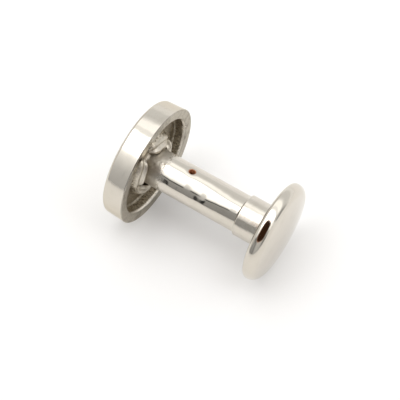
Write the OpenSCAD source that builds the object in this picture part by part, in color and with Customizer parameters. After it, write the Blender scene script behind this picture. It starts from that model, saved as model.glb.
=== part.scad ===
// Cap rivet in two halves, pushed together: a cast head with a hollow post staked
// into it, and a domed cap with a collar that slips over the post's neck.
// The rivet stands on the head's closed face and its axis is +Z. Sizes are in millimetres.

/* [Head] */
// Diameter of the head at its rim, before the edge is rounded
head_d = 10; // [9:0.1:14]
// Height of the head from its closed face to its rim
head_h = 1.85; // [1.6:0.05:3]
// Draft of the outer wall: how much less radius the closed face has than the rim
head_draft = 0.1; // [0:0.02:0.3]
// Rounding of the closed face's edge
face_edge_r = 0.25; // [0.1:0.05:0.5]
// Width of the rim round the recess
rim_w = 0.95; // [0.7:0.05:1.2]
// Rounding of the rim's outer edge
rim_outer_r = 0.15; // [0.05:0.05:0.3]
// Rounding of the rim's inner edge
rim_inner_r = 0.25; // [0.05:0.05:0.35]
// Depth of the recess
recess_depth = 1; // [0.9:0.05:1.3]
// Rounding at the foot of the recess wall
recess_foot_r = 0.2; // [0.05:0.05:0.4]

/* [Staked lugs] */
// Number of lugs round the post's flange
lug_count = 4; // [3:1:6]
// Width of a lug across its top
lug_w = 2.4; // [1.6:0.1:2.6]
// Height of a lug above the recess floor
lug_h = 0.8; // [0.65:0.05:0.8]
// Thickness of a lug outside the flange
lug_wall = 0.55; // [0.4:0.05:0.8]
// How far a lug reaches in over the flange
lug_reach = 0.22; // [0.1:0.02:0.22]
// Gap between a lug's pressed-in top and the post
lug_gap = 0.12; // [0.08:0.02:0.2]
// How much lower a lug is at its outer edge than at the post
lug_drop = 0.2; // [0.1:0.05:0.3]
// Width of the bevel on a lug's outer edge
lug_bevel = 0.2; // [0.1:0.02:0.24]
// Turn of the first lug from +X, in degrees
lug_turn = 36; // [0:1:90]

/* [Post] */
// Diameter of the post in the grip
post_d = 3.08; // [2.6:0.02:3.2]
// Length of post that shows between the rim and the collar
grip = 7.85; // [5:0.05:12]
// Width of the flange round the post's foot
flange_w = 0.56; // [0.56:0.02:0.8]
// Thickness of the drawn sheet
post_sheet = 0.3; // [0.2:0.05:0.4]
// Rounding between the flange and the post
foot_r = 0.32; // [0.1:0.02:0.32]
// Step in radius from the grip down to the neck
neck_step = 0.18; // [0.16:0.01:0.22]
// Rounding of the closed tip
tip_r = 0.55; // [0.45:0.05:0.65]
// Gap between the tip and the inside of the dome
tip_gap = 0.2; // [0.1:0.05:0.4]

/* [Vent hole] */
// Diameter of the hole that drains the post
vent_d = 0.5; // [0.3:0.05:0.8]
// Height of the hole above the rim
vent_h = 3; // [1.5:0.05:4]
// Turn of the hole from +X, in degrees
vent_turn = 229; // [0:1:360]
// Width of the punched-in edge round the hole
vent_edge = 0.1; // [0.04:0.02:0.2]

/* [Socket] */
// Length of the collar below the cap
collar_len = 2.25; // [1.2:0.05:4]
// Thickness of the drawn sheet
collar_sheet = 0.32; // [0.2:0.01:0.36]
// Clearance in radius between the neck and the collar
neck_fit = 0.03; // [0.01:0.01:0.06]
// Gap between the collar's mouth and the post's shoulder
mouth_gap = 0.05; // [0.02:0.01:0.2]
// Rounding of the collar's mouth
mouth_r = 0.06; // [0.02:0.01:0.07]
// Rounding between the collar and its flange
collar_foot_r = 0.15; // [0.05:0.05:0.3]

/* [Cap] */
// Diameter of the cap
cap_d = 8.2; // [7:0.1:10]
// Thickness of the stamped sheet
cap_sheet = 0.25; // [0.15:0.05:0.3]
// Radius of the dome's crown
crown_r = 20; // [12:1:60]
// Rounding between the crown and the side
cap_edge_r = 0.75; // [0.4:0.05:1]
// Height of the straight side
cap_side = 0.05; // [0.05:0.05:0.6]
// Rounding where the side curls under
curl_r = 0.35; // [0.32:0.01:0.5]
// Width of the flat edge that is curled under the socket's flange
curl_w = 0.5; // [0.3:0.05:1]
// Clearance in radius round the socket's flange
flange_fit = 0.03; // [0.02:0.01:0.1]

/* [Hidden] */
$fn = 96;

PLATED_CAST = [0.80, 0.79, 0.75];
PLATED_DRAWN = [0.84, 0.82, 0.77];

// Radii of the pieces
head_r = head_d / 2;
recess_r = head_r - rim_w;
post_r = post_d / 2;
flange_r = post_r + flange_w;
neck_r = post_r - neck_step;
bore_r = neck_r - post_sheet;
collar_bore_r = neck_r + neck_fit;
collar_r = collar_bore_r + collar_sheet;
cap_r = cap_d / 2;
socket_flange_r = cap_r - curl_r - flange_fit;

// Heights above the closed face, from the recess floor up to the top of the dome
floor_z = head_h - recess_depth;
flange_z = floor_z + post_sheet;
shoulder_z = head_h + grip;
mouth_z = shoulder_z + mouth_gap;
cap_z = mouth_z + collar_len;
socket_flange_z = cap_z + cap_sheet;
cap_edge_z = cap_z + curl_r + cap_side;
crown_drop = crown_r - sqrt(pow(crown_r - cap_edge_r, 2) - pow(cap_r - cap_edge_r, 2));
top_z = cap_edge_z + crown_drop;
tip_z = top_z - cap_sheet - tip_gap;

// Overlap that lets a cut pass clear of a face, or a cast feature root in its floor
OVER = 0.1;
// Rounding of the flange's sheared edges, as a share of its sheet
sheared_r = post_sheet / 4;

function place(corner) = [corner[0], corner[1]];
function unit(v) = v / norm(v);
// Half the angle between the two sides that meet at a corner
function half_angle(back, ahead) = acos(back * ahead) / 2;

// Outline with true arcs at its corners. A corner is [radius, height, rounding], and the
// corners run with the material on their left. A convex arc is a disc added inside the cut
// corner, so it needs a wall of twice its rounding, and a concave arc is a disc taken out of
// the filled corner.
module outline(corners) {
    n = len(corners);
    at = [for (c = corners) place(c)];
    back = [for (i = [0:n - 1]) unit(at[(i + n - 1) % n] - at[i])];
    ahead = [for (i = [0:n - 1]) unit(at[(i + 1) % n] - at[i])];
    half = [for (i = [0:n - 1]) half_angle(back[i], ahead[i])];
    rounding = [for (c = corners) c[2]];
    trim = [for (i = [0:n - 1]) rounding[i] / tan(half[i])];
    centre = [for (i = [0:n - 1]) at[i] + unit(back[i] + ahead[i]) * rounding[i] / sin(half[i])];
    rounded = [for (i = [0:n - 1]) if (rounding[i] > 0) i];
    convex = [for (i = rounded) if (cross(ahead[i], back[i]) > 0) i];
    concave = [for (i = rounded) if (cross(ahead[i], back[i]) < 0) i];
    difference() {
        union() {
            polygon([for (i = [0:n - 1]) each rounding[i] > 0
                ? [at[i] + back[i] * trim[i], at[i] + ahead[i] * trim[i]]
                : [at[i]]]);
            for (i = convex) translate(centre[i]) circle(rounding[i]);
        }
        for (i = concave) translate(centre[i]) circle(rounding[i]);
    }
}

// Cup of the head: drafted wall, rounded rim and recess
module cup() {
    rotate_extrude()
    outline([
        [0, 0, 0],
        [head_r - head_draft, 0, face_edge_r],
        [head_r, head_h, rim_outer_r],
        [recess_r, head_h, rim_inner_r],
        [recess_r, floor_z, recess_foot_r],
        [0, floor_z, 0],
    ]);
}

// Ring that the lugs are parts of: it hooks in over the flange and leans to the post
module lug_ring() {
    seat_r = flange_r + flange_fit;
    outer_r = flange_r + lug_wall;
    inner_r = post_r + lug_gap;
    lug_z = floor_z + lug_h;
    rotate_extrude()
    polygon([
        [seat_r, floor_z - OVER],
        [outer_r, floor_z - OVER],
        [outer_r, lug_z - lug_drop - lug_bevel],
        [outer_r - lug_bevel, lug_z - lug_drop],
        [inner_r + lug_bevel / 2, lug_z],
        [inner_r, lug_z - lug_bevel / 2],
        [flange_r - lug_reach, flange_z],
        [seat_r, flange_z],
    ]);
}

// Lugs cast on the recess floor and staked over the flange. Each is cut from the ring by a rod
// that lies on the floor and passes through the two ends of the lug's top.
module lugs() {
    rod_r = norm([lug_w / 2, lug_h]);
    intersection() {
        lug_ring();
        for (i = [0:lug_count - 1])
            rotate([0, 0, lug_turn + i * 360 / lug_count])
            translate([post_r, 0, floor_z])
            rotate([0, 90, 0])
            cylinder(r = rod_r, h = flange_w + lug_wall + OVER);
    }
}

// Cast head with its staked lugs
module head() {
    color(PLATED_CAST)
    union() {
        cup();
        lugs();
    }
}

// Wall of the drawn post: flange, grip, neck and closed tip
module post_wall() {
    rotate_extrude()
    difference() {
        outline([
            [0, floor_z, 0],
            [flange_r, floor_z, sheared_r],
            [flange_r, flange_z, sheared_r],
            [post_r, flange_z, foot_r],
            [post_r, shoulder_z, neck_step / 2],
            [neck_r, shoulder_z, 0],
            [neck_r, tip_z, tip_r],
            [0, tip_z, 0],
        ]);
        outline([
            [0, floor_z - OVER, 0],
            [bore_r, floor_z - OVER, 0],
            [bore_r, tip_z - post_sheet, tip_r - post_sheet],
            [0, tip_z - post_sheet, 0],
        ]);
    }
}

// Vent hole with its punched-in edge, as a cut along +X
module vent() {
    rotate([0, 90, 0]) {
        cylinder(d = vent_d, h = post_r + OVER);
        translate([0, 0, post_r - vent_edge])
        cylinder(d1 = vent_d, d2 = vent_d + 4 * vent_edge, h = 2 * vent_edge);
    }
}

// Drawn hollow post with a vent hole in its side
module post() {
    color(PLATED_DRAWN)
    difference() {
        post_wall();
        translate([0, 0, head_h + vent_h])
        rotate([0, 0, vent_turn])
        vent();
    }
}

// Drawn eyelet: the collar that slips over the neck, and the flange that the cap holds
module socket() {
    color(PLATED_DRAWN)
    rotate_extrude()
    outline([
        [collar_bore_r, mouth_z, mouth_r],
        [collar_r, mouth_z, mouth_r],
        [collar_r, socket_flange_z, collar_foot_r],
        [socket_flange_r, socket_flange_z, 0],
        [socket_flange_r, socket_flange_z + collar_sheet, 0],
        [collar_bore_r, socket_flange_z + collar_sheet, collar_sheet / 2],
    ]);
}

// Section of the cap filled solid, set in by a thickness all round
module cap_section(inset) {
    edge_x = cap_r - cap_edge_r;
    crown_z = top_z - crown_r;
    reach = crown_r / (cap_edge_z - crown_z);
    intersection() {
        translate([0, cap_edge_z]) square([cap_r, crown_drop + OVER]);
        union() {
            translate([edge_x, cap_edge_z]) circle(cap_edge_r - inset);
            intersection() {
                translate([0, crown_z]) circle(crown_r - inset);
                polygon([[0, crown_z], [edge_x * reach, crown_z + crown_r], [0, crown_z + crown_r]]);
            }
        }
    }
    translate([0, cap_z + curl_r]) square([cap_r - inset, cap_side]);
    intersection() {
        translate([0, cap_z]) square([cap_r, curl_r]);
        union() {
            translate([cap_r - curl_r, cap_z + curl_r]) circle(curl_r - inset);
            translate([0, cap_z + inset]) square([cap_r - curl_r, curl_r]);
        }
    }
}

// Stamped cap: a domed shell with its edge curled in under the socket's flange
module cap_shell() {
    color(PLATED_DRAWN)
    rotate_extrude()
    difference() {
        cap_section(0);
        cap_section(cap_sheet);
        translate([0, cap_z - OVER]) square([cap_r - curl_r - curl_w, cap_sheet + 2 * OVER]);
    }
}

head();
post();
socket();
cap_shell();
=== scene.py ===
"""Looks of a cap rivet: bright nickel plate on a cast head, a drawn post, a collar and a domed cap.

Sizes are in millimetres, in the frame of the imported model, and MM turns them into metres.
"""

import logging
import math
from contextlib import contextmanager
from dataclasses import dataclass, field
from enum import Enum
from typing import Callable, Iterator, Optional, Sequence, Union

import bpy
import bmesh
from mathutils import Matrix, Vector


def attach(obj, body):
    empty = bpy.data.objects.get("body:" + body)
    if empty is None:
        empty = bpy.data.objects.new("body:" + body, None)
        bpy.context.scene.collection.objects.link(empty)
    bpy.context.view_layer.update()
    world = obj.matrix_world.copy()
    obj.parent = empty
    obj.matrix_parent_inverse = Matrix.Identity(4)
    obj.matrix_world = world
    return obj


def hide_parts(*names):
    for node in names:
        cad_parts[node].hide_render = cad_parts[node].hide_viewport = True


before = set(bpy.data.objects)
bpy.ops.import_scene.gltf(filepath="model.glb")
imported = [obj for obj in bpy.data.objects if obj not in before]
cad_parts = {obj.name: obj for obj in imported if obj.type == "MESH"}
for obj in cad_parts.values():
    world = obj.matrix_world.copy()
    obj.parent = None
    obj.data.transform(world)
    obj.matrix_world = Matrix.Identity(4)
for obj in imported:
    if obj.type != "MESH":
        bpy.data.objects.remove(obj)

MM = 0.001
TURN_STEPS = 224
NOISE_MEAN = 0.5

Colour = tuple[float, float, float]
Point = tuple[float, float]
Span = tuple[float, float]

log = logging.getLogger("cap_rivet")


class Body(Enum):
    """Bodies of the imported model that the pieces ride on."""

    STUD = "stud"
    CAP = "cap"


class Node(Enum):
    """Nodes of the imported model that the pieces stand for."""

    HEAD = "head"
    POST = "post"
    SOCKET = "socket"
    CAP_SHELL = "cap_shell"


class Slot(Enum):
    """Material slots of the record."""

    HEAD = "head_plating"
    POST = "post_plating"
    SOCKET = "socket_plating"
    CAP = "cap_plating"


# Shader sheets

class Value:
    """A socket that can be used in Python expressions."""

    def __init__(self, sheet: "Sheet", socket: bpy.types.NodeSocket) -> None:
        """Keep the socket and the sheet that it is on."""
        self.sheet = sheet
        self.socket = socket

    def __add__(self, other: "Number") -> "Value":
        """Sum of two values."""
        return self.sheet.math("ADD", self, other)

    def __sub__(self, other: "Number") -> "Value":
        """Difference of two values."""
        return self.sheet.math("SUBTRACT", self, other)

    def __mul__(self, other: "Number") -> "Value":
        """Product of two values."""
        return self.sheet.math("MULTIPLY", self, other)

    def __truediv__(self, other: "Number") -> "Value":
        """Quotient of two values."""
        return self.sheet.math("DIVIDE", self, other)

    def __rsub__(self, other: float) -> "Value":
        """Difference of a number and this value."""
        return self.sheet.math("SUBTRACT", other, self)

    __radd__ = __add__
    __rmul__ = __mul__


Number = Union[Value, float]


@dataclass(frozen=True)
class Noise:
    """Size and kind of a noise."""

    scale: float
    detail: float
    roughness: float = 0.5
    distortion: float = 0.0


class Sheet:
    """A node tree that is written as expressions."""

    def __init__(self, tree: bpy.types.NodeTree) -> None:
        """Start on an empty tree."""
        self.tree = tree
        tree.nodes.clear()

    def node(self, kind: str, settings: Optional[dict] = None,
             inputs: Optional[dict] = None) -> bpy.types.Node:
        """Add a node, set it up and fill its sockets.

        Args:
            kind: The node's type.
            settings: Attributes of the node, with the stops of a ramp under "stops".
            inputs: Numbers, colours or links by socket name or number.

        Returns:
            The new node.
        """
        made = self.tree.nodes.new(kind)
        for name, setting in (settings or {}).items():
            if name == "stops":
                self._set_stops(made.color_ramp.elements, setting)
            else:
                setattr(made, name, setting)
        for name, given in (inputs or {}).items():
            link = given.socket if isinstance(given, Value) else given
            if isinstance(link, bpy.types.NodeSocket):
                self.tree.links.new(link, made.inputs[name])
            else:
                made.inputs[name].default_value = given
        return made

    @staticmethod
    def _set_stops(stops: bpy.types.bpy_prop_collection, wanted: Sequence[tuple[float, Colour]]) -> None:
        """Put the wanted places and colours into a ramp."""
        while len(stops) < len(wanted):
            stops.new(1.0)
        for stop, (place, colour) in zip(stops, wanted):
            stop.position = place
            stop.color = (*colour, 1.0)

    def value(self, made: bpy.types.Node, output: Union[str, int] = 0) -> Value:
        """Output of a node as a value."""
        return Value(self, made.outputs[output])

    def math(self, operation: str, *terms: Number) -> Value:
        """Result of a Math node on up to three values."""
        inputs = dict(enumerate(terms))
        return self.value(self.node("ShaderNodeMath", {"operation": operation}, inputs))

    def mix(self, share: Number, first: Union[Value, Colour], second: Union[Value, Colour]) -> Value:
        """Blend of two colours.

        Args:
            share: How much of the second colour there is, from 0 to 1.
            first: Colour at share 0.
            second: Colour at share 1.

        Returns:
            The blended colour.
        """
        ends = [c if isinstance(c, Value) else (*c, 1.0) for c in (first, second)]
        made = self.node("ShaderNodeMix", {"data_type": "RGBA"}, {0: share, 6: ends[0], 7: ends[1]})
        return self.value(made, 2)

    def rise(self, term: Number, low: float, high: float) -> Value:
        """Smooth step of a value from 0 at low to 1 at high; low may be the larger one."""
        ends = (0.0, 1.0) if low < high else (1.0, 0.0)
        made = self.node(
            "ShaderNodeMapRange",
            {"interpolation_type": "SMOOTHSTEP"},
            {0: term, 1: min(low, high), 2: max(low, high), 3: ends[0], 4: ends[1]},
        )
        return self.value(made)

    def place(self, stretch: Sequence[float] = (1, 1, 1), turn: float = 0.0) -> Value:
        """Object coordinates in millimetres.

        Args:
            stretch: Factors along X, Y and Z.
            turn: Turn about Z in degrees, made before the stretch.

        Returns:
            The coordinates as a vector.
        """
        spot = self.value(self.node("ShaderNodeTexCoord"), "Object")
        turned = self.node(
            "ShaderNodeMapping",
            {"vector_type": "POINT"},
            {"Vector": spot, "Rotation": (0, 0, math.radians(turn)), "Scale": (1 / MM,) * 3},
        )
        inputs = {0: self.value(turned), 1: stretch}
        return self.value(self.node("ShaderNodeVectorMath", {"operation": "MULTIPLY"}, inputs))

    def parts(self, vector: Value) -> tuple[Value, Value, Value]:
        """X, Y and Z of a vector."""
        made = self.node("ShaderNodeSeparateXYZ", None, {0: vector})
        return self.value(made, 0), self.value(made, 1), self.value(made, 2)

    def length(self, first: Value, second: Value) -> Value:
        """Distance from the origin in two directions."""
        return self.math("SQRT", first * first + second * second)

    def noise(self, vector: Value, noise: Noise) -> Value:
        """Noise from 0 to 1 at a point."""
        made = self.node("ShaderNodeTexNoise", None, {
            "Vector": vector,
            "Scale": noise.scale,
            "Detail": noise.detail,
            "Roughness": noise.roughness,
            "Distortion": noise.distortion,
        })
        return self.value(made)

    def bump(self, height: Value, depth: float, under: Optional[Value] = None) -> Value:
        """Normal of a relief.

        Args:
            height: Height from 0 to 1.
            depth: Depth of the full height, in millimetres.
            under: Normal of a relief below this one.

        Returns:
            The bumped normal.
        """
        inputs = {"Height": height, "Distance": depth * MM, "Strength": 1.0}
        if under is not None:
            inputs["Normal"] = under
        return self.value(self.node("ShaderNodeBump", None, inputs))


# Finishes

@dataclass(frozen=True)
class Nickel:
    """Bright nickel plate."""

    colour: Colour = (0.66, 0.618, 0.545)
    shade: Colour = (0.575, 0.535, 0.455)
    grazing: Colour = (1.0, 1.0, 1.0)
    roughness: float = 0.07
    blotch: float = 0.05
    clouds: Noise = Noise(0.9, 3.0)
    flecks: Noise = Noise(9.0, 2.0)
    shaded: Span = (0.45, 0.85)
    shade_share: float = 0.5

    def dress(self, name: str, relief: Callable[[Sheet], Value],
              soil: Callable[[Sheet, Value, Value], tuple[Value, Value, Number]]) -> bpy.types.Material:
        """Make the material of a plated piece.

        Args:
            name: Name of the material.
            relief: Function that gives the normal.
            soil: Function that lays soil, and in places painted shade, over the plate's colour and
                roughness, and gives the metal's share.

        Returns:
            The material.
        """
        material = bpy.data.materials.new(name)
        material.use_nodes = True
        sheet = Sheet(material.node_tree)
        cloud = sheet.noise(sheet.place(), self.clouds)
        fleck = sheet.noise(sheet.place(), self.flecks)
        colour = sheet.mix(sheet.rise(cloud, *self.shaded) * self.shade_share, self.colour, self.shade)
        rough = self.roughness + (cloud - NOISE_MEAN) * self.blotch + (fleck - NOISE_MEAN) * self.blotch
        colour, rough, metal = soil(sheet, colour, rough)
        shader = sheet.node("ShaderNodeBsdfPrincipled", None, {
            "Base Color": colour,
            "Roughness": rough,
            "Metallic": metal,
            "Specular Tint": (*self.grazing, 1.0),
            "Normal": relief(sheet),
        })
        sheet.node("ShaderNodeOutputMaterial", None, {"Surface": shader.outputs[0]})
        return material


@dataclass(frozen=True)
class CastPlate(Nickel):
    """Plate on the cast head: clear outside, scuffed on the rim and stained in the recess, with painted
    shade that darkens the recess towards its floor and along the lugs' grooves.

    Each span runs from where its mask starts to where it is full.
    """

    grazing: Colour = (0.84, 0.805, 0.74)
    stain: Colour = (0.64, 0.58, 0.47)
    # Dark brown used for grime in random grains, and as painted shade towards the recess floor and along the
    # lugs' grooves.
    grime_and_shade: Colour = (0.185, 0.154, 0.111)
    scuff: Colour = (0.11, 0.10, 0.08)
    recess_radius: Span = (4.21, 4.07)
    recess_height: Span = (0.3, 0.5)
    wall_height: Span = (1.81, 1.55)
    staked_radius: Span = (3.05, 2.85)
    lug_radius: Span = (2.95, 2.6)
    lug_height: Span = (1.3, 1.7)
    rim_radius: Span = (3.75, 4.05)
    rim_height: Span = (1.75, 1.82)
    # Heights over which the painted shade fades out upwards from the recess floor.
    floor_shade_height: Span = (0.45, 1.35)
    # Painted shade along the lugs' grooves: the radius of its line and the offsets over which it fades.
    groove_r: float = 2.25
    groove_shade_off: Span = (0.13, 0.03)
    pits: Noise = Noise(4.0, 4.0, 0.7)
    pit_depth: float = 0.07
    lug_smooth: float = 0.5
    rim_pits: float = 0.3
    waves: Noise = Noise(0.5, 1.0)
    wave_stretch: tuple[float, float, float] = (1, 1, 1.8)
    wave_depth: float = 0.05
    patches: Noise = Noise(1.8, 4.0, 0.7)
    patch_span: Span = (0.3, 0.62)
    patch_least: float = 0.7
    grains: Noise = Noise(6.0, 3.0, 0.65)
    grain_span: Span = (0.36, 0.64)
    lug_even: float = 0.6
    lug_clean: float = 0.6
    # Share of the painted shade along the lugs' grooves.
    groove_shade_share: float = 0.8
    wear: Noise = Noise(1.3, 4.0, 0.7)
    wear_span: Span = (0.45, 0.7)
    scuff_least: float = 0.5
    scuff_worn: float = 0.36
    scuff_share: float = 0.85
    recess_rough: float = 0.16
    lug_rough: float = 0.03
    stain_rough: float = 0.12
    scuff_rough: float = 0.2

    def material(self) -> bpy.types.Material:
        """Make the head's material."""
        return self.dress("cast_nickel", self.relief, self.soil)

    def regions(self, sheet: Sheet) -> tuple[Value, Value, Value, Value, Value]:
        """Radius, height, and the masks of the recess, the lugs and the rim's face."""
        x, y, z = sheet.parts(sheet.place())
        radius = sheet.length(x, y)
        edge = sheet.rise(radius, *self.recess_radius) * sheet.rise(z, *self.recess_height)
        staked = sheet.rise(radius, *self.staked_radius)
        inside = edge * sheet.math("MAXIMUM", staked, sheet.rise(z, *self.wall_height))
        lugs = sheet.rise(radius, *self.lug_radius) * sheet.rise(z, *self.lug_height)
        rim = sheet.rise(z, *self.rim_height) * sheet.rise(radius, *self.rim_radius)
        return radius, z, inside, lugs, rim

    def relief(self, sheet: Sheet) -> Value:
        """Fine pits of the casting in the recess, fainter ones on the rim and a faint wave all over."""
        _, _, inside, lugs, rim = self.regions(sheet)
        pitted = inside * (1 - lugs * self.lug_smooth) + rim * self.rim_pits
        wave = sheet.bump(sheet.noise(sheet.place(self.wave_stretch), self.waves), self.wave_depth)
        return sheet.bump(sheet.noise(sheet.place(), self.pits) * pitted, self.pit_depth, wave)

    def soil(self, sheet: Sheet, colour: Value, rough: Value) -> tuple[Value, Value, Number]:
        """Brown stain in the recess, thin on the lugs, painted shade towards the recess floor and along the
        lugs' grooves, and scuffs on the rim.
        """
        radius, z, inside, lugs, rim = self.regions(sheet)
        patch = sheet.rise(sheet.noise(sheet.place(), self.patches), *self.patch_span)
        grain = sheet.rise(sheet.noise(sheet.place(), self.grains), *self.grain_span)
        grain = grain + (NOISE_MEAN - grain) * lugs * self.lug_even
        share = inside * (1 - lugs * self.lug_clean) * (self.patch_least + (1 - self.patch_least) * patch)
        # Painted shade: the recess turns towards the dark colour near its floor, broken by random grains of
        # grime.
        dull = sheet.mix(grain * sheet.rise(z, *self.floor_shade_height), self.grime_and_shade, self.stain)
        # Painted shade: a dark line along the groove on top of each lug.
        groove = lugs * sheet.rise(sheet.math("ABSOLUTE", radius - self.groove_r), *self.groove_shade_off)
        groove = groove * self.groove_shade_share
        dull = sheet.mix(groove, dull, self.grime_and_shade)
        share = sheet.math("MAXIMUM", share, groove)
        worn = sheet.rise(sheet.noise(sheet.place(), self.wear), *self.wear_span)
        scuffs = rim * (self.scuff_least + self.scuff_worn * worn)
        colour = sheet.mix(scuffs * self.scuff_share, sheet.mix(share, colour, dull), self.scuff)
        rough = rough + inside * (self.recess_rough + self.lug_rough * lugs)
        return colour, rough + share * self.stain_rough + scuffs * self.scuff_rough, 1.0


@dataclass(frozen=True)
class DrawnPost(Nickel):
    """Plate on the drawn post: wavy, with bare copper in the vent, a dull foot, and brown painted shade at
    the bottom of the tube where it stands in the recess.

    Each span runs from where its mask starts to where it is full.
    """

    copper: Colour = (0.43, 0.175, 0.08)
    # Brown of the painted shade at the bottom of the tube, in the recess.
    stain: Colour = (0.46, 0.41, 0.33)
    vent_z: float = 4.85
    vent_turn: float = 229.0
    vent_radius: Span = (0.33, 0.27)
    vent_depth: Span = (0.2, 0.4)
    ripples: Noise = Noise(0.7, 1.0, 0.4, 0.3)
    ripple_stretch: tuple[float, float, float] = (1, 1, 0.7)
    ripple_depth: float = 0.01
    mottles: Noise = Noise(3.2, 2.0)
    mottle_height: Span = (3.6, 2.2)
    mottle_depth: float = 0.035
    patches: Noise = Noise(2.4, 3.0, 0.6)
    patch_lift: float = 1.2
    foot_height: Span = (4.2, 2.6)
    foot_rough: float = 0.38
    # Heights over which the brown painted shade fades up the tube, and its share.
    root_shade_height: Span = (2.9, 2.3)
    root_shade_share: float = 0.8
    vent_rough: float = 0.5

    def material(self) -> bpy.types.Material:
        """Make the post's material."""
        return self.dress("drawn_nickel_post", self.relief, self.soil)

    def relief(self, sheet: Sheet) -> Value:
        """Drawing waves along the tube and a mottled foot."""
        _, _, z = sheet.parts(sheet.place())
        ripple = sheet.bump(sheet.noise(sheet.place(self.ripple_stretch), self.ripples), self.ripple_depth)
        mottle = sheet.noise(sheet.place(), self.mottles) * sheet.rise(z, *self.mottle_height)
        return sheet.bump(mottle, self.mottle_depth, ripple)

    def soil(self, sheet: Sheet, colour: Value, rough: Value) -> tuple[Value, Value, Number]:
        """Copper in the vent hole, a dull foot, and brown painted shade at the bottom of the tube."""
        along, across, z = sheet.parts(sheet.place(turn=-self.vent_turn))
        off_axis = sheet.length(across, z - self.vent_z)
        hole = sheet.rise(off_axis, *self.vent_radius) * sheet.rise(along, *self.vent_depth)
        patch = sheet.noise(sheet.place(), self.patches)
        foot = sheet.rise(z + patch * self.patch_lift, *self.foot_height)
        # Painted shade: the tube turns brown towards its bottom, in the recess.
        root_shade = sheet.rise(z + patch, *self.root_shade_height)
        colour = sheet.mix(hole, sheet.mix(root_shade * self.root_shade_share, colour, self.stain), self.copper)
        return colour, rough + foot * self.foot_rough + hole * self.vent_rough, 1 - hole


@dataclass(frozen=True)
class DrawnPlate(Nickel):
    """Plate on the collar and the cap: smooth, with faint haze."""

    name: str = "drawn_nickel"
    waves: Noise = Noise(0.6, 1.0)
    wave_depth: float = 0.004
    grains: Noise = Noise(6.0, 3.0, 0.6)
    grain_depth: float = 0.0
    hazes: Noise = Noise(3.0, 4.0, 0.6)
    haze_span: Span = (0.4, 0.75)
    haze_rough: float = 0.05

    def material(self) -> bpy.types.Material:
        """Make the material."""
        return self.dress(self.name, self.relief, self.soil)

    def relief(self, sheet: Sheet) -> Value:
        """Faint unevenness of the pressed sheet and its grain."""
        wave = sheet.bump(sheet.noise(sheet.place(), self.waves), self.wave_depth)
        return sheet.bump(sheet.noise(sheet.place(), self.grains), self.grain_depth, wave)

    def soil(self, sheet: Sheet, colour: Value, rough: Value) -> tuple[Value, Value, Number]:
        """Haze in small patches."""
        haze = sheet.rise(sheet.noise(sheet.place(), self.hazes), *self.haze_span)
        return colour, rough + haze * self.haze_rough, 1.0


# Modelling by hand

def spoke(degrees: float) -> Vector:
    """Unit vector away from the Z axis at an azimuth."""
    return Vector((math.cos(math.radians(degrees)), math.sin(math.radians(degrees)), 0))


def make_active(obj: bpy.types.Object) -> None:
    """Select one object alone and make it the active one."""
    bpy.ops.object.select_all(action="DESELECT")
    obj.select_set(True)
    bpy.context.view_layer.objects.active = obj


@contextmanager
def editing(obj: bpy.types.Object) -> Iterator[None]:
    """Edit an object's mesh with nothing selected at first, and leave edit mode at the end."""
    make_active(obj)
    bpy.ops.object.mode_set(mode="EDIT")
    bpy.ops.mesh.select_mode(type="VERT")
    bpy.ops.mesh.select_all(action="DESELECT")
    yield
    bpy.ops.object.mode_set(mode="OBJECT")


def pick(obj: bpy.types.Object, test: Callable[[Vector], bool]) -> None:
    """Select the vertices of the mesh in edit mode whose place passes a test.

    Args:
        obj: Object in edit mode.
        test: Function of a vertex's place in millimetres; hidden vertices aren't asked.
    """
    mesh = bmesh.from_edit_mesh(obj.data)
    for vertex in [v for v in mesh.verts if not v.hide and test(v.co / MM)]:
        vertex.select_set(True)
    mesh.select_flush(True)
    bmesh.update_edit_mesh(obj.data)


def push(move: Vector, reach: float) -> None:
    """Move what is selected in edit mode, with a smooth fall-off round it.

    Args:
        move: Movement in millimetres.
        reach: How far the fall-off goes, in millimetres.
    """
    bpy.ops.transform.translate(
        value=tuple(move * MM),
        use_proportional_edit=True,
        proportional_edit_falloff="SMOOTH",
        proportional_size=reach * MM,
    )


def apply_modifier(obj: bpy.types.Object, kind: str, **settings: object) -> None:
    """Add a modifier, set it and apply it."""
    make_active(obj)
    added = obj.modifiers.new(kind.lower(), kind)
    for name, setting in settings.items():
        setattr(added, name, setting)
    bpy.ops.object.modifier_apply(modifier=added.name)


def combine(obj: bpy.types.Object, tool: bpy.types.Object, operation: str) -> None:
    """Cut a tool from a piece, or fuse it to the piece, and delete the tool.

    Args:
        obj: Piece that is changed.
        tool: Object that is used up.
        operation: DIFFERENCE or UNION.
    """
    apply_modifier(obj, "BOOLEAN", operation=operation, object=tool, solver="MANIFOLD")
    bpy.data.objects.remove(tool)


def smooth(obj: bpy.types.Object, angle: float = 35.0) -> None:
    """Shade a piece smooth up to an angle, with flats kept flat."""
    make_active(obj)
    bpy.ops.object.shade_smooth_by_angle(angle=math.radians(angle))
    apply_modifier(obj, "WEIGHTED_NORMAL", mode="FACE_AREA", weight=50, keep_sharp=True)


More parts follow.
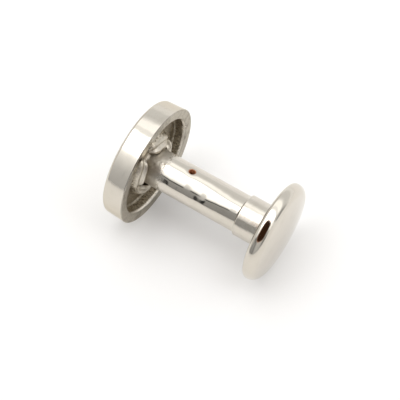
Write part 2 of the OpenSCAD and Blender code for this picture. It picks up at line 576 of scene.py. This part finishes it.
class Pen:
    """Draws the outline of a turned piece in the XZ plane and spins it about Z."""

    HOLD = 0.03
    HOLD_MOST = 0.25
    NOTHING = 1e-6
    CHORD = 7
    CHORDS_LEAST = 3
    JOIN = 1e-4
    SEAM = 1e-3

    def __init__(self, name: str, start: Point) -> None:
        """Put the pen down.

        Args:
            name: Name of the piece.
            start: First point, as radius and height.
        """
        bpy.ops.object.select_all(action="DESELECT")
        bpy.ops.mesh.primitive_plane_add(size=MM)
        self.obj = bpy.context.object
        self.obj.name = self.obj.data.name = name
        self.at = Vector(start)
        bpy.ops.object.mode_set(mode="EDIT")
        bpy.ops.mesh.select_all(action="SELECT")
        bpy.ops.mesh.merge(type="CENTER")
        bpy.ops.transform.translate(value=(start[0] * MM, 0, start[1] * MM))

    def _step(self, target: Vector) -> None:
        """Extrude the last vertex to a point."""
        move = (target - self.at) * MM
        bpy.ops.mesh.extrude_region_move(TRANSFORM_OT_translate={"value": (move.x, 0, move.y)})
        self.at = target

    def line(self, target: Point, rows: int = 1) -> "Pen":
        """Draw a straight stretch with a holding edge near each end.

        Args:
            target: End of the stretch.
            rows: How many even rows the middle has.

        Returns:
            The pen itself.
        """
        end = Vector(target)
        run = end - self.at
        if run.length < self.NOTHING:
            return self
        start, hold = self.at.copy(), min(self.HOLD / run.length, self.HOLD_MOST)
        shares = [hold] + [hold + (1 - 2 * hold) * (i + 1) / rows for i in range(rows)] + [1.0]
        for share in shares:
            self._step(start + run * share)
        return self

    def arc(self, centre: Point, degrees: float, steps: int = 0) -> "Pen":
        """Draw an arc by spinning the last vertex.

        Args:
            centre: Centre of the arc.
            degrees: Turn of the arc, positive from radius to height.
            steps: Number of chords, or 0 for one every CHORD degrees.

        Returns:
            The pen itself.
        """
        bpy.ops.mesh.spin(
            steps=steps or max(self.CHORDS_LEAST, round(abs(degrees) / self.CHORD)),
            angle=math.radians(degrees),
            center=(centre[0] * MM, 0, centre[1] * MM),
            axis=(0, 1, 0),
        )
        arm = self.at - Vector(centre)
        arm.rotate(Matrix.Rotation(math.radians(degrees), 2))
        self.at = Vector(centre) + arm
        return self

    def corners(self, corners: Sequence[tuple[float, float, float]], rows: int = 1) -> "Pen":
        """Draw straight stretches with rounded corners between them.

        Args:
            corners: Radius, height and rounding of each corner; the last one is the end.
            rows: How many even rows each straight stretch has.

        Returns:
            The pen itself.
        """
        for here, after in zip(corners, [*corners[1:], None]):
            corner, rounding = Vector(here[:2]), here[2]
            if after is None or rounding == 0:
                self.line(corner, rows)
                continue
            back, ahead = (self.at - corner).normalized(), (Vector(after[:2]) - corner).normalized()
            half = math.acos(max(-1.0, min(1.0, back.dot(ahead)))) / 2
            self.line(corner + back * (rounding / math.tan(half)), rows)
            turn = math.degrees(math.pi - 2 * half)
            left = back.x * ahead.y - back.y * ahead.x < 0
            centre = corner + (back + ahead).normalized() * (rounding / math.sin(half))
            self.arc(centre, turn if left else -turn)
        return self

    def close(self) -> "Pen":
        """Join the last vertex to the first one."""
        bpy.ops.mesh.select_all(action="SELECT")
        bpy.ops.mesh.remove_doubles(threshold=self.JOIN * MM)
        return self

    def turn(self, steps: int = TURN_STEPS) -> bpy.types.Object:
        """Spin the outline about Z into a closed skin.

        Args:
            steps: Number of faces round the axis.

        Returns:
            The turned object.
        """
        bpy.ops.mesh.select_all(action="SELECT")
        bpy.ops.mesh.spin(steps=steps, angle=2 * math.pi, center=(0, 0, 0), axis=(0, 0, 1))
        bpy.ops.mesh.select_all(action="SELECT")
        bpy.ops.mesh.remove_doubles(threshold=self.SEAM * MM)
        bpy.ops.mesh.normals_make_consistent(inside=False)
        bpy.ops.object.mode_set(mode="OBJECT")
        return self.obj


def hand_over(obj: bpy.types.Object, material: bpy.types.Material,
              body: Body, node: Node, slot: Slot) -> None:
    """Give a finished piece its material and its place in the frame.

    Args:
        obj: The piece.
        material: Its material.
        body: Body that it rides on.
        node: Node that it stands for.
        slot: Material slot of the record; not used.
    """
    obj.data.materials.clear()
    obj.data.materials.append(material)
    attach(obj, body.value)
    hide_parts(node.value)
    log.info("%s: %d faces on %s", obj.name, len(obj.data.polygons), body.value)


# Pieces

@dataclass
class Lug:
    """Lug of the head: an arc of wall with a groove along its top and a hook over the post's flange."""

    floor_z: float = 0.85
    sunk: float = 0.1
    outer_r: float = 2.95
    heel_in: float = 0.12
    heel_h: float = 0.3
    heel: float = 0.12
    back_r: float = 2.48
    back_drop: float = 0.16
    back: float = 0.2
    groove_r: float = 2.2
    groove_depth: float = 0.16
    groove: float = 0.1
    crest_r: float = 1.96
    crest_z: float = 1.92
    crest: float = 0.12
    nose_r: float = 1.62
    nose_drop: float = 0.04
    nose: float = 0.08
    throat_in: float = 0.06
    throat_h: float = 0.25
    throat: float = 0.05
    hook_r: float = 1.9
    hook_out: float = 2.16
    hook_z: float = 1.19
    hook: float = 0.02
    rows: int = 5
    half_turn: float = 39.0
    steps: int = 32
    foot_r: float = 2.25
    end_power: int = 4
    end_sum: float = 1.02
    hammer: float = 0.06
    hammer_size: float = 0.5
    hammer_level: float = 0.62

    def build(self) -> bpy.types.Object:
        """Draw the lug's section, spin it step by step while it grows and shrinks, and close its ends."""
        low, back_z = self.floor_z - self.sunk, self.crest_z - self.back_drop
        pen = Pen("lug", (self.hook_out, low))
        pen.corners([
            (self.outer_r, low, 0),
            (self.outer_r - self.heel_in, self.floor_z + self.heel_h, self.heel),
            (self.back_r, back_z, self.back),
            (self.groove_r, back_z - self.groove_depth, self.groove),
            (self.crest_r, self.crest_z, self.crest),
            (self.nose_r, self.crest_z - self.nose_drop, self.nose),
            (self.nose_r + self.throat_in, self.hook_z + self.throat_h, self.throat),
            (self.hook_r, self.hook_z, self.hook),
            (self.hook_out, self.hook_z, self.hook),
            (self.hook_out, low, 0),
        ], rows=self.rows)
        lug = pen.close().obj
        bpy.ops.mesh.select_all(action="SELECT")
        step = 2 * self.half_turn / self.steps
        size = 1.0
        for number in range(self.steps + 1):
            if number:
                bpy.ops.mesh.spin(steps=1, angle=math.radians(-step), center=(0, 0, 0), axis=(0, 0, 1))
            wanted = (self.end_sum - (2 * number / self.steps - 1) ** self.end_power) ** 0.5
            turn = math.radians(number * step)
            foot = Vector((math.cos(turn) * self.foot_r, math.sin(turn) * self.foot_r, low))
            bpy.ops.transform.resize(value=(wanted / size,) * 3, center_override=tuple(foot * MM))
            size = wanted
        bpy.ops.mesh.select_all(action="SELECT")
        bpy.ops.mesh.fill_holes(sides=0)
        bpy.ops.mesh.select_all(action="SELECT")
        bpy.ops.mesh.normals_make_consistent(inside=False)
        bpy.ops.object.mode_set(mode="OBJECT")
        lug.data.transform(Matrix.Rotation(math.radians(-self.half_turn), 4, "Z"))
        return lug

    def staked(self, lug: bpy.types.Object, turn: float) -> bpy.types.Object:
        """Copy the lug to its place and hammer it.

        Args:
            lug: The lug that is copied.
            turn: Azimuth of the copy in degrees.

        Returns:
            The copy, with its own mesh.
        """
        make_active(lug)
        bpy.ops.object.duplicate()
        copy = bpy.context.object
        copy.data.transform(Matrix.Rotation(math.radians(turn), 4, "Z"))
        marks = bpy.data.textures.new("hammer_marks", "CLOUDS")
        marks.noise_scale = self.hammer_size * MM
        marks.noise_depth = 1
        apply_modifier(copy, "DISPLACE", texture=marks, texture_coords="LOCAL",
                       strength=self.hammer * MM, mid_level=self.hammer_level)
        return copy


@dataclass
class Head:
    """Cast cup with lugs that are staked over the post's flange."""

    radius: float = 5.0
    height: float = 1.85
    draft: float = 0.1
    face_edge: float = 0.25
    rim_outer: float = 0.11
    rim_inner: float = 0.25
    recess_r: float = 4.05
    floor_z: float = 0.85
    foot: float = 0.2
    rows: int = 4
    lug: Lug = field(default_factory=Lug)
    lug_count: int = 4
    lug_turn: float = 36.0
    nick_turn: float = 156.0
    nick_in: float = 0.07
    nick_depth: float = 0.08
    nick_spot: float = 0.09
    nick_reach: float = 0.35
    weld: float = 0.003
    finish: CastPlate = field(default_factory=CastPlate)

    def build(self) -> bpy.types.Object:
        """Turn the cup, nick its rim and fuse the lugs to it."""
        pen = Pen("head_cup", (0, 0))
        pen.corners([
            (self.radius - self.draft, 0, self.face_edge),
            (self.radius, self.height, self.rim_outer),
            (self.recess_r, self.height, self.rim_inner),
            (self.recess_r, self.floor_z, self.foot),
            (0, self.floor_z, 0),
        ], rows=self.rows)
        cup = pen.turn()
        self._nick(cup)
        lug = self.lug.build()
        for number in range(self.lug_count):
            turn = self.lug_turn + number * 360 / self.lug_count
            combine(cup, self.lug.staked(lug, turn), "UNION")
        bpy.data.objects.remove(lug)
        apply_modifier(cup, "TRIANGULATE", min_vertices=5)
        with editing(cup):
            bpy.ops.mesh.select_all(action="SELECT")
            bpy.ops.mesh.remove_doubles(threshold=self.weld * MM)
            bpy.ops.mesh.dissolve_degenerate(threshold=self.weld * MM)
        smooth(cup)
        return cup

    def _nick(self, cup: bpy.types.Object) -> None:
        """Press a small dent into the rim's inner edge."""
        out = spoke(self.nick_turn)
        spot = out * (self.recess_r + self.nick_in) + Vector((0, 0, self.height - self.nick_in))
        with editing(cup):
            pick(cup, lambda place: (place - spot).length < self.nick_spot)
            push(out * self.nick_depth + Vector((0, 0, -self.nick_depth)), self.nick_reach)

    def dress(self, cup: bpy.types.Object) -> None:
        """Plate the head."""
        hand_over(cup, self.finish.material(), Body.STUD, Node.HEAD, Slot.HEAD)


@dataclass(frozen=True)
class Dent:
    """Line along which the post's wall is pressed in.

    Its depth is negative where the wall bulges, and its reach says how far round it the wall gives way.
    """

    turn: float
    low: float
    high: float
    depth: float
    reach: float


@dataclass
class Post:
    """Drawn tube with a flange, a neck, a closed tip and a vent hole."""

    radius: float = 1.54
    flange_r: float = 2.1
    floor_z: float = 0.85
    flange_z: float = 1.15
    sheared: float = 0.075
    foot: float = 0.32
    shoulder_z: float = 9.7
    shoulder: float = 0.03
    neck_step: float = 0.18
    sheet: float = 0.3
    tip_z: float = 12.994
    tip: float = 0.55
    wall_rows: int = 100
    bore_rows: int = 20
    vent_r: float = 0.25
    vent_z: float = 4.85
    vent_turn: float = 229.0
    vent_edge: float = 0.05
    dimple: float = 0.05
    dimple_r: float = 0.6
    punch_from: float = 0.3
    punch_past: float = 0.5
    punch_steps: int = 48
    dent_spot: float = 0.08
    dent_skin: float = 0.15
    dent_stop: float = 0.01
    dents: tuple[Dent, ...] = (
        Dent(300.0, 3.0, 3.0, 0.018, 0.8),
        Dent(288.0, 4.3, 4.3, 0.016, 0.8),
        Dent(297.0, 5.8, 5.8, 0.048, 1.3),
        Dent(267.0, 7.4, 9.7, -0.03, 1.0),
        Dent(267.0, 8.2, 9.7, -0.04, 1.0),
        Dent(265.0, 9.0, 9.7, -0.04, 1.0),
    )
    finish: DrawnPost = field(default_factory=DrawnPost)

    def build(self) -> bpy.types.Object:
        """Turn the tube, dent it and cut the vent."""
        neck_r = self.radius - self.neck_step
        bore_r = neck_r - self.sheet
        pen = Pen("post_tube", (bore_r, self.floor_z))
        pen.corners([
            (self.flange_r, self.floor_z, self.sheared),
            (self.flange_r, self.flange_z, self.sheared),
            (self.radius, self.flange_z, self.foot),
            (self.radius, self.flange_z + 2 * self.foot, 0),
        ])
        pen.line((self.radius, self.shoulder_z - self.shoulder), self.wall_rows)
        pen.arc((self.radius - self.shoulder, self.shoulder_z - self.shoulder), 90)
        pen.corners([
            (neck_r, self.shoulder_z, 0),
            (neck_r, self.tip_z, self.tip),
            (0, self.tip_z, 0),
        ])
        pen.line((0, self.tip_z - self.sheet))
        pen.corners([
            (bore_r, self.tip_z - self.sheet, self.tip - self.sheet),
            (bore_r, self.floor_z, 0),
        ], rows=self.bore_rows)
        tube = pen.close().turn()
        for dent in self.dents:
            self._dent(tube, dent)
        self._vent(tube)
        smooth(tube)
        return tube

    def _dent(self, tube: bpy.types.Object, dent: Dent) -> None:
        """Press the wall in along a line, or let it bulge; the shoulder and the neck stay true."""
        out = spoke(dent.turn)

        def on_line(place: Vector) -> bool:
            """Tell whether a place is on the line."""
            nearest = out * self.radius + Vector((0, 0, min(max(place.z, dent.low), dent.high)))
            outside = place.xy.length > self.radius - self.dent_skin
            return outside and (place - nearest).length < self.dent_spot

        with editing(tube):
            pick(tube, lambda place: place.z > self.shoulder_z - self.dent_stop)
            bpy.ops.mesh.hide(unselected=False)
            pick(tube, on_line)
            push(-out * dent.depth, dent.reach)
            bpy.ops.mesh.reveal(select=False)

    def _vent(self, tube: bpy.types.Object) -> None:
        """Dish the wall round the vent and cut the hole through it."""
        self._dent(tube, Dent(self.vent_turn, self.vent_z, self.vent_z, self.dimple, self.dimple_r))
        mouth = self.radius - self.dimple
        wide = self.vent_r + 2 * self.vent_edge
        pen = Pen("vent_punch", (0, self.punch_from))
        pen.corners([
            (self.vent_r, self.punch_from, 0),
            (self.vent_r, mouth - self.vent_edge, 0),
            (wide, mouth + self.vent_edge, 0),
            (wide, mouth + self.punch_past, 0),
            (0, mouth + self.punch_past, 0),
        ])
        punch = pen.turn(self.punch_steps)
        lay = Matrix.Rotation(math.radians(self.vent_turn), 4, "Z")
        lay = lay @ Matrix.Rotation(math.radians(90), 4, "Y")
        punch.data.transform(Matrix.Translation((0, 0, self.vent_z * MM)) @ lay)
        combine(tube, punch, "DIFFERENCE")

    def dress(self, tube: bpy.types.Object) -> None:
        """Plate the post."""
        hand_over(tube, self.finish.material(), Body.STUD, Node.POST, Slot.POST)


@dataclass
class Socket:
    """Drawn eyelet: a collar on the post's neck, and a flange in the cap."""

    bore_r: float = 1.39
    collar_r: float = 1.71
    mouth_z: float = 9.72
    mouth: float = 0.1
    flange_z: float = 12.25
    flange_r: float = 3.72
    foot: float = 0.15
    rows: int = 4
    finish: DrawnPlate = field(default_factory=lambda: DrawnPlate(
        name="drawn_nickel_collar", roughness=0.13, haze_rough=0.12, wave_depth=0.025, grain_depth=0.006))

    def build(self) -> bpy.types.Object:
        """Turn the collar and its flange."""
        sheet = self.collar_r - self.bore_r
        middle = (self.bore_r + self.collar_r) / 2
        pen = Pen("socket_collar", (middle, self.mouth_z))
        pen.corners([
            (self.collar_r, self.mouth_z, self.mouth),
            (self.collar_r, self.flange_z, self.foot),
            (self.flange_r, self.flange_z, 0),
            (self.flange_r, self.flange_z + sheet, 0),
            (self.bore_r, self.flange_z + sheet, sheet / 2),
            (self.bore_r, self.mouth_z, self.mouth),
            (middle, self.mouth_z, 0),
        ], rows=self.rows)
        collar = pen.close().turn()
        smooth(collar)
        return collar

    def dress(self, collar: bpy.types.Object) -> None:
        """Plate the socket."""
        hand_over(collar, self.finish.material(), Body.CAP, Node.SOCKET, Slot.SOCKET)


@dataclass
class CapShell:
    """Stamped dome with its edge curled under the socket's flange."""

    radius: float = 4.1
    sheet: float = 0.25
    under_z: float = 12.0
    curl: float = 0.35
    curl_w: float = 0.5
    side: float = 0.05
    edge: float = 0.75
    crown: float = 20.0
    crown_steps: int = 40
    edge_steps: int = 24
    finish: DrawnPlate = field(default_factory=lambda: DrawnPlate(name="polished_nickel_cap"))

    def build(self) -> bpy.types.Object:
        """Draw the sheet's outer side down and its inner side back up, and turn it."""
        edge_r, curl_r = self.radius - self.edge, self.radius - self.curl
        curl_z = self.under_z + self.curl
        edge_z = curl_z + self.side
        lip_r, lip_z = curl_r - self.curl_w, self.under_z + self.sheet
        rise = math.sqrt((self.crown - self.edge) ** 2 - edge_r ** 2)
        crown_z = edge_z - rise
        lean = math.degrees(math.atan2(edge_r, rise))
        pen = Pen("cap_dome", (0, crown_z + self.crown))
        pen.arc((0, crown_z), -lean, self.crown_steps)
        pen.arc((edge_r, edge_z), -(90 - lean), self.edge_steps)
        pen.line((self.radius, curl_z))
        pen.arc((curl_r, curl_z), -90)
        pen.line((lip_r, self.under_z))
        pen.line((lip_r, lip_z))
        pen.line((curl_r, lip_z))
        pen.arc((curl_r, curl_z), 90)
        pen.line((self.radius - self.sheet, edge_z))
        pen.arc((edge_r, edge_z), 90 - lean, self.edge_steps // 2)
        pen.arc((0, crown_z), lean, self.crown_steps // 2)
        dome = pen.turn()
        smooth(dome)
        return dome

    def dress(self, dome: bpy.types.Object) -> None:
        """Plate the cap."""
        hand_over(dome, self.finish.material(), Body.CAP, Node.CAP_SHELL, Slot.CAP)


# Stage

def seen_directly(sheet: Sheet) -> Value:
    """1 for what the camera sees, and for what shows in metal or through glass."""
    path = sheet.node("ShaderNodeLightPath")
    names = ("Is Camera Ray", "Is Glossy Ray", "Is Transmission Ray")
    camera, metal, glass = (sheet.value(path, name) for name in names)
    return sheet.math("MAXIMUM", sheet.math("MAXIMUM", camera, metal), glass)


@dataclass
class Table:
    """White sheet that the rivet leans on with its rim and its cap, seen from its upper side alone.

    It dips beyond the cap, so that the cap stays clear of it on its way off the post.
    """

    up_turn: float = 245.0
    rim_r: float = 4.99
    rim_z: float = 1.69
    cap_r: float = 4.1
    cap_z: float = 12.38
    size: float = 600.0
    dip: float = 0.1
    white: Colour = (0.755, 0.75, 0.741)
    glow: Colour = (0.18, 0.18, 0.18)

    def build(self) -> bpy.types.Object:
        """Lay the sheet against the rim and the cap, and fold it down beyond the cap."""
        lean = Matrix.Rotation(math.radians(self.up_turn), 3, "Z")
        tilt = math.atan2(self.rim_r - self.cap_r, self.cap_z - self.rim_z)
        up = lean @ Vector((math.cos(tilt), 0, -math.sin(tilt)))
        along = lean @ Vector((math.sin(tilt), 0, math.cos(tilt)))
        axes = Matrix((along, up.cross(along), up)).transposed()
        foot = lean @ Vector((-self.rim_r, 0, self.rim_z))
        fold = along.dot(lean @ Vector((-self.cap_r, 0, self.cap_z)))
        half = self.size / 2
        bpy.ops.mesh.primitive_plane_add(size=self.size * MM)
        table = bpy.context.object
        table.name = "table"
        with editing(table):
            pick(table, lambda place: place.x > 0)
            bpy.ops.transform.translate(value=((fold - half) * MM, 0, 0))
            beyond = Vector((half, 0, -half * self.dip)) * MM
            bpy.ops.mesh.extrude_region_move(TRANSFORM_OT_translate={"value": tuple(beyond)})
        table.data.transform(Matrix.Translation(up * up.dot(foot) * MM) @ axes.to_4x4())
        table.data.materials.append(self._material())
        return table

    def _material(self) -> bpy.types.Material:
        """Matt white that keeps shadows, clear from below."""
        material = bpy.data.materials.new("table_white")
        material.use_nodes = True
        sheet = Sheet(material.node_tree)
        matt = sheet.node("ShaderNodeBsdfDiffuse", None, {"Color": (*self.white, 1.0)})
        lift = sheet.mix(seen_directly(sheet), (0, 0, 0), self.glow)
        glow = sheet.node("ShaderNodeEmission", None, {"Color": lift})
        lit = sheet.node("ShaderNodeAddShader", None, {0: matt.outputs[0], 1: glow.outputs[0]})
        clear = sheet.node("ShaderNodeBsdfTransparent")
        back = sheet.value(sheet.node("ShaderNodeNewGeometry"), "Backfacing")
        shader = sheet.node("ShaderNodeMixShader", None, {0: back, 1: lit.outputs[0], 2: clear.outputs[0]})
        sheet.node("ShaderNodeOutputMaterial", None, {"Surface": shader.outputs[0]})
        return material


@dataclass(frozen=True)
class Oval:
    """Dark oval on the tent, full within its core and gone at its edge."""

    turn: float
    half_turn: float
    z: float
    half_z: float
    core: float
    dark: float
    boxy: bool = False

    def mask(self, sheet: Sheet, turn: Value, z: Value) -> Value:
        """Darkness of the oval at a turn and a height of the tent."""
        across, up = (turn - self.turn) / self.half_turn, (z - self.z) / self.half_z
        if self.boxy:
            across, up = across * across, up * up
        return sheet.rise(sheet.length(across, up), 1.0, self.core) * self.dark


@dataclass(frozen=True)
class Strip:
    """Field on the tent between soft edges, each of them a span from its start to its full strength."""

    strength: float
    turns: tuple[Span, ...]
    heights: tuple[Span, ...]

    def mask(self, sheet: Sheet, turn: Value, z: Value) -> Value:
        """Strength of the field at a turn and a height of the tent."""
        edges = [sheet.rise(turn, *span) for span in self.turns]
        edges += [sheet.rise(z, *span) for span in self.heights]
        return math.prod(edges[1:], start=edges[0]) * self.strength


@dataclass
class Tent:
    """Half-round tent of lit cloth along the rivet, with a dark opening at the viewer's side."""

    radius: float = 150.0
    turn_from: float = 150.0
    turn_to: float = 337.0
    low: float = -330.0
    high: float = 700.0
    rows: int = 8
    steps: int = 64
    bands: tuple[tuple[float, float], ...] = (
        (150, 1.08), (165, 1.06), (171, 0.88), (192, 0.85), (199, 1.0), (206, 1.55), (219, 1.60),
        (223, 1.27), (229, 1.30), (233, 2.9), (268, 2.9), (274, 1.52), (282, 1.18), (294, 0.92),
        (306, 0.72), (318, 0.64), (337, 0.56),
    )
    viewer: Oval = Oval(280, 28, 119, 140, 0.8, 0.98, boxy=True)
    dark_fields: tuple[Union[Oval, Strip], ...] = (
        Strip(0.5, (), ((150, 290),)),
        Oval(325, 17, -45.5, 6.5, 0.6, 0.95),
        Oval(297, 17, -6, 17, 0.7, 0.75),
        Strip(0.4, ((299, 306),), ((-52, -47), (-6, -18))),
        Strip(0.9, ((298, 302), (310, 304)), ((-52, -47), (-26, -30))),
        Strip(0.5, ((296, 306),), ((-16, 2), (60, 20))),
    )
    window: Strip = Strip(0.7, ((262, 268), (302, 288)), ((-52, -47), (-26, -30)))
    viewer_tint: Colour = (0.7, 0.3, 0.14)
    ground: Colour = (0.26, 0.255, 0.245)
    ground_height: Span = (-90, -130)

    def build(self) -> bpy.types.Object:
        """Spin a line about the rivet and light it."""
        pen = Pen("light_tent", (self.radius, self.low))
        pen.line((self.radius, self.high), rows=self.rows)
        bpy.ops.mesh.select_all(action="SELECT")
        angle = math.radians(self.turn_from - self.turn_to)
        bpy.ops.mesh.spin(steps=self.steps, angle=angle, center=(0, 0, 0), axis=(0, 0, 1))
        bpy.ops.object.mode_set(mode="OBJECT")
        tent = pen.obj
        tent.data.transform(Matrix.Rotation(math.radians(self.turn_from), 4, "Z"))
        tent.data.materials.append(self._material())
        return tent

    def _material(self) -> bpy.types.Material:
        """Light by the turn about the rivet, less the dark fields and with a brighter window."""
        span = self.turn_to - self.turn_from
        top = max(light for _, light in self.bands)
        material = bpy.data.materials.new("tent_light")
        material.use_nodes = True
        sheet = Sheet(material.node_tree)
        x, y, z = sheet.parts(sheet.place())
        turn = sheet.math("ARCTAN2", y, x) * (180 / math.pi)
        turn = turn + sheet.math("LESS_THAN", turn, 0.0) * 360
        stops = [((place - self.turn_from) / span, (light / top,) * 3) for place, light in self.bands]
        ramp = sheet.node("ShaderNodeValToRGB", {"stops": stops}, {0: (turn - self.turn_from) / span})
        viewer = dark = self.viewer.mask(sheet, turn, z)
        for dark_field in self.dark_fields:
            dark = sheet.math("MAXIMUM", dark, dark_field.mask(sheet, turn, z))
        dark = dark - self.window.mask(sheet, turn, z)
        tint = sheet.mix(viewer, sheet.value(ramp), self.viewer_tint)
        tint = sheet.mix(sheet.rise(z, *self.ground_height), tint, self.ground)
        inputs = {0: tint, "Scale": (1 - dark) * top}
        light = sheet.node("ShaderNodeVectorMath", {"operation": "SCALE"}, inputs)
        glow = sheet.node("ShaderNodeEmission", None, {"Color": light.outputs[0]})
        sheet.node("ShaderNodeOutputMaterial", None, {"Surface": glow.outputs[0]})
        return material


@dataclass
class Stage:
    """Table, light tent and a white world."""

    table: Table = field(default_factory=Table)
    tent: Tent = field(default_factory=Tent)
    fill: float = 0.35

    def build(self) -> None:
        """Set up the world, the table and the tent."""
        self._world()
        table, tent = self.table.build(), self.tent.build()
        tent.visible_shadow = tent.visible_camera = False

    def _world(self) -> None:
        """White all round for the camera and for reflections, softer as a fill."""
        world = bpy.data.worlds.new("studio")
        bpy.context.scene.world = world
        world.use_nodes = True
        sheet = Sheet(world.node_tree)
        strength = self.fill + seen_directly(sheet) * (1 - self.fill)
        inputs = {"Color": (1.0, 1.0, 1.0, 1.0), "Strength": strength}
        light = sheet.node("ShaderNodeBackground", None, inputs)
        sheet.node("ShaderNodeOutputWorld", None, {"Surface": light.outputs[0]})


@dataclass
class Viewpoint:
    """Camera at the photograph's angle."""

    place: tuple[float, float, float] = (0.253, -111.72, 35.749)
    elevation: float = 14.829
    heading: float = -0.191
    roll: float = 119.149
    focus_px: float = 1500.0
    image_px: float = 400.0
    sensor: float = 36.0
    clip: Span = (1.0, 2000.0)

    def build(self) -> None:
        """Add the camera and make it the scene's own."""
        data = bpy.data.cameras.new("view")
        data.sensor_width = self.sensor
        data.lens = self.sensor * self.focus_px / self.image_px
        data.clip_start, data.clip_end = self.clip[0] * MM, self.clip[1] * MM
        camera = bpy.data.objects.new("view", data)
        bpy.context.scene.collection.objects.link(camera)
        tip = Matrix.Rotation(math.radians(self.heading), 4, "Z")
        tip = tip @ Matrix.Rotation(math.radians(90 - self.elevation), 4, "X")
        roll = Matrix.Rotation(math.radians(self.roll), 4, "Z")
        camera.matrix_world = Matrix.Translation(Vector(self.place) * MM) @ tip @ roll
        bpy.context.scene.camera = camera


def main() -> None:
    """Build and dress the rivet, then set the stage round it."""
    logging.basicConfig(level=logging.INFO, format="%(name)s %(message)s")
    bpy.context.scene.view_settings.view_transform = "Standard"
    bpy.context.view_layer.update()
    for piece in (Head(), Post(), Socket(), CapShell()):
        piece.dress(piece.build())
    Stage().build()
    Viewpoint().build()


if __name__ == "__main__":
    main()
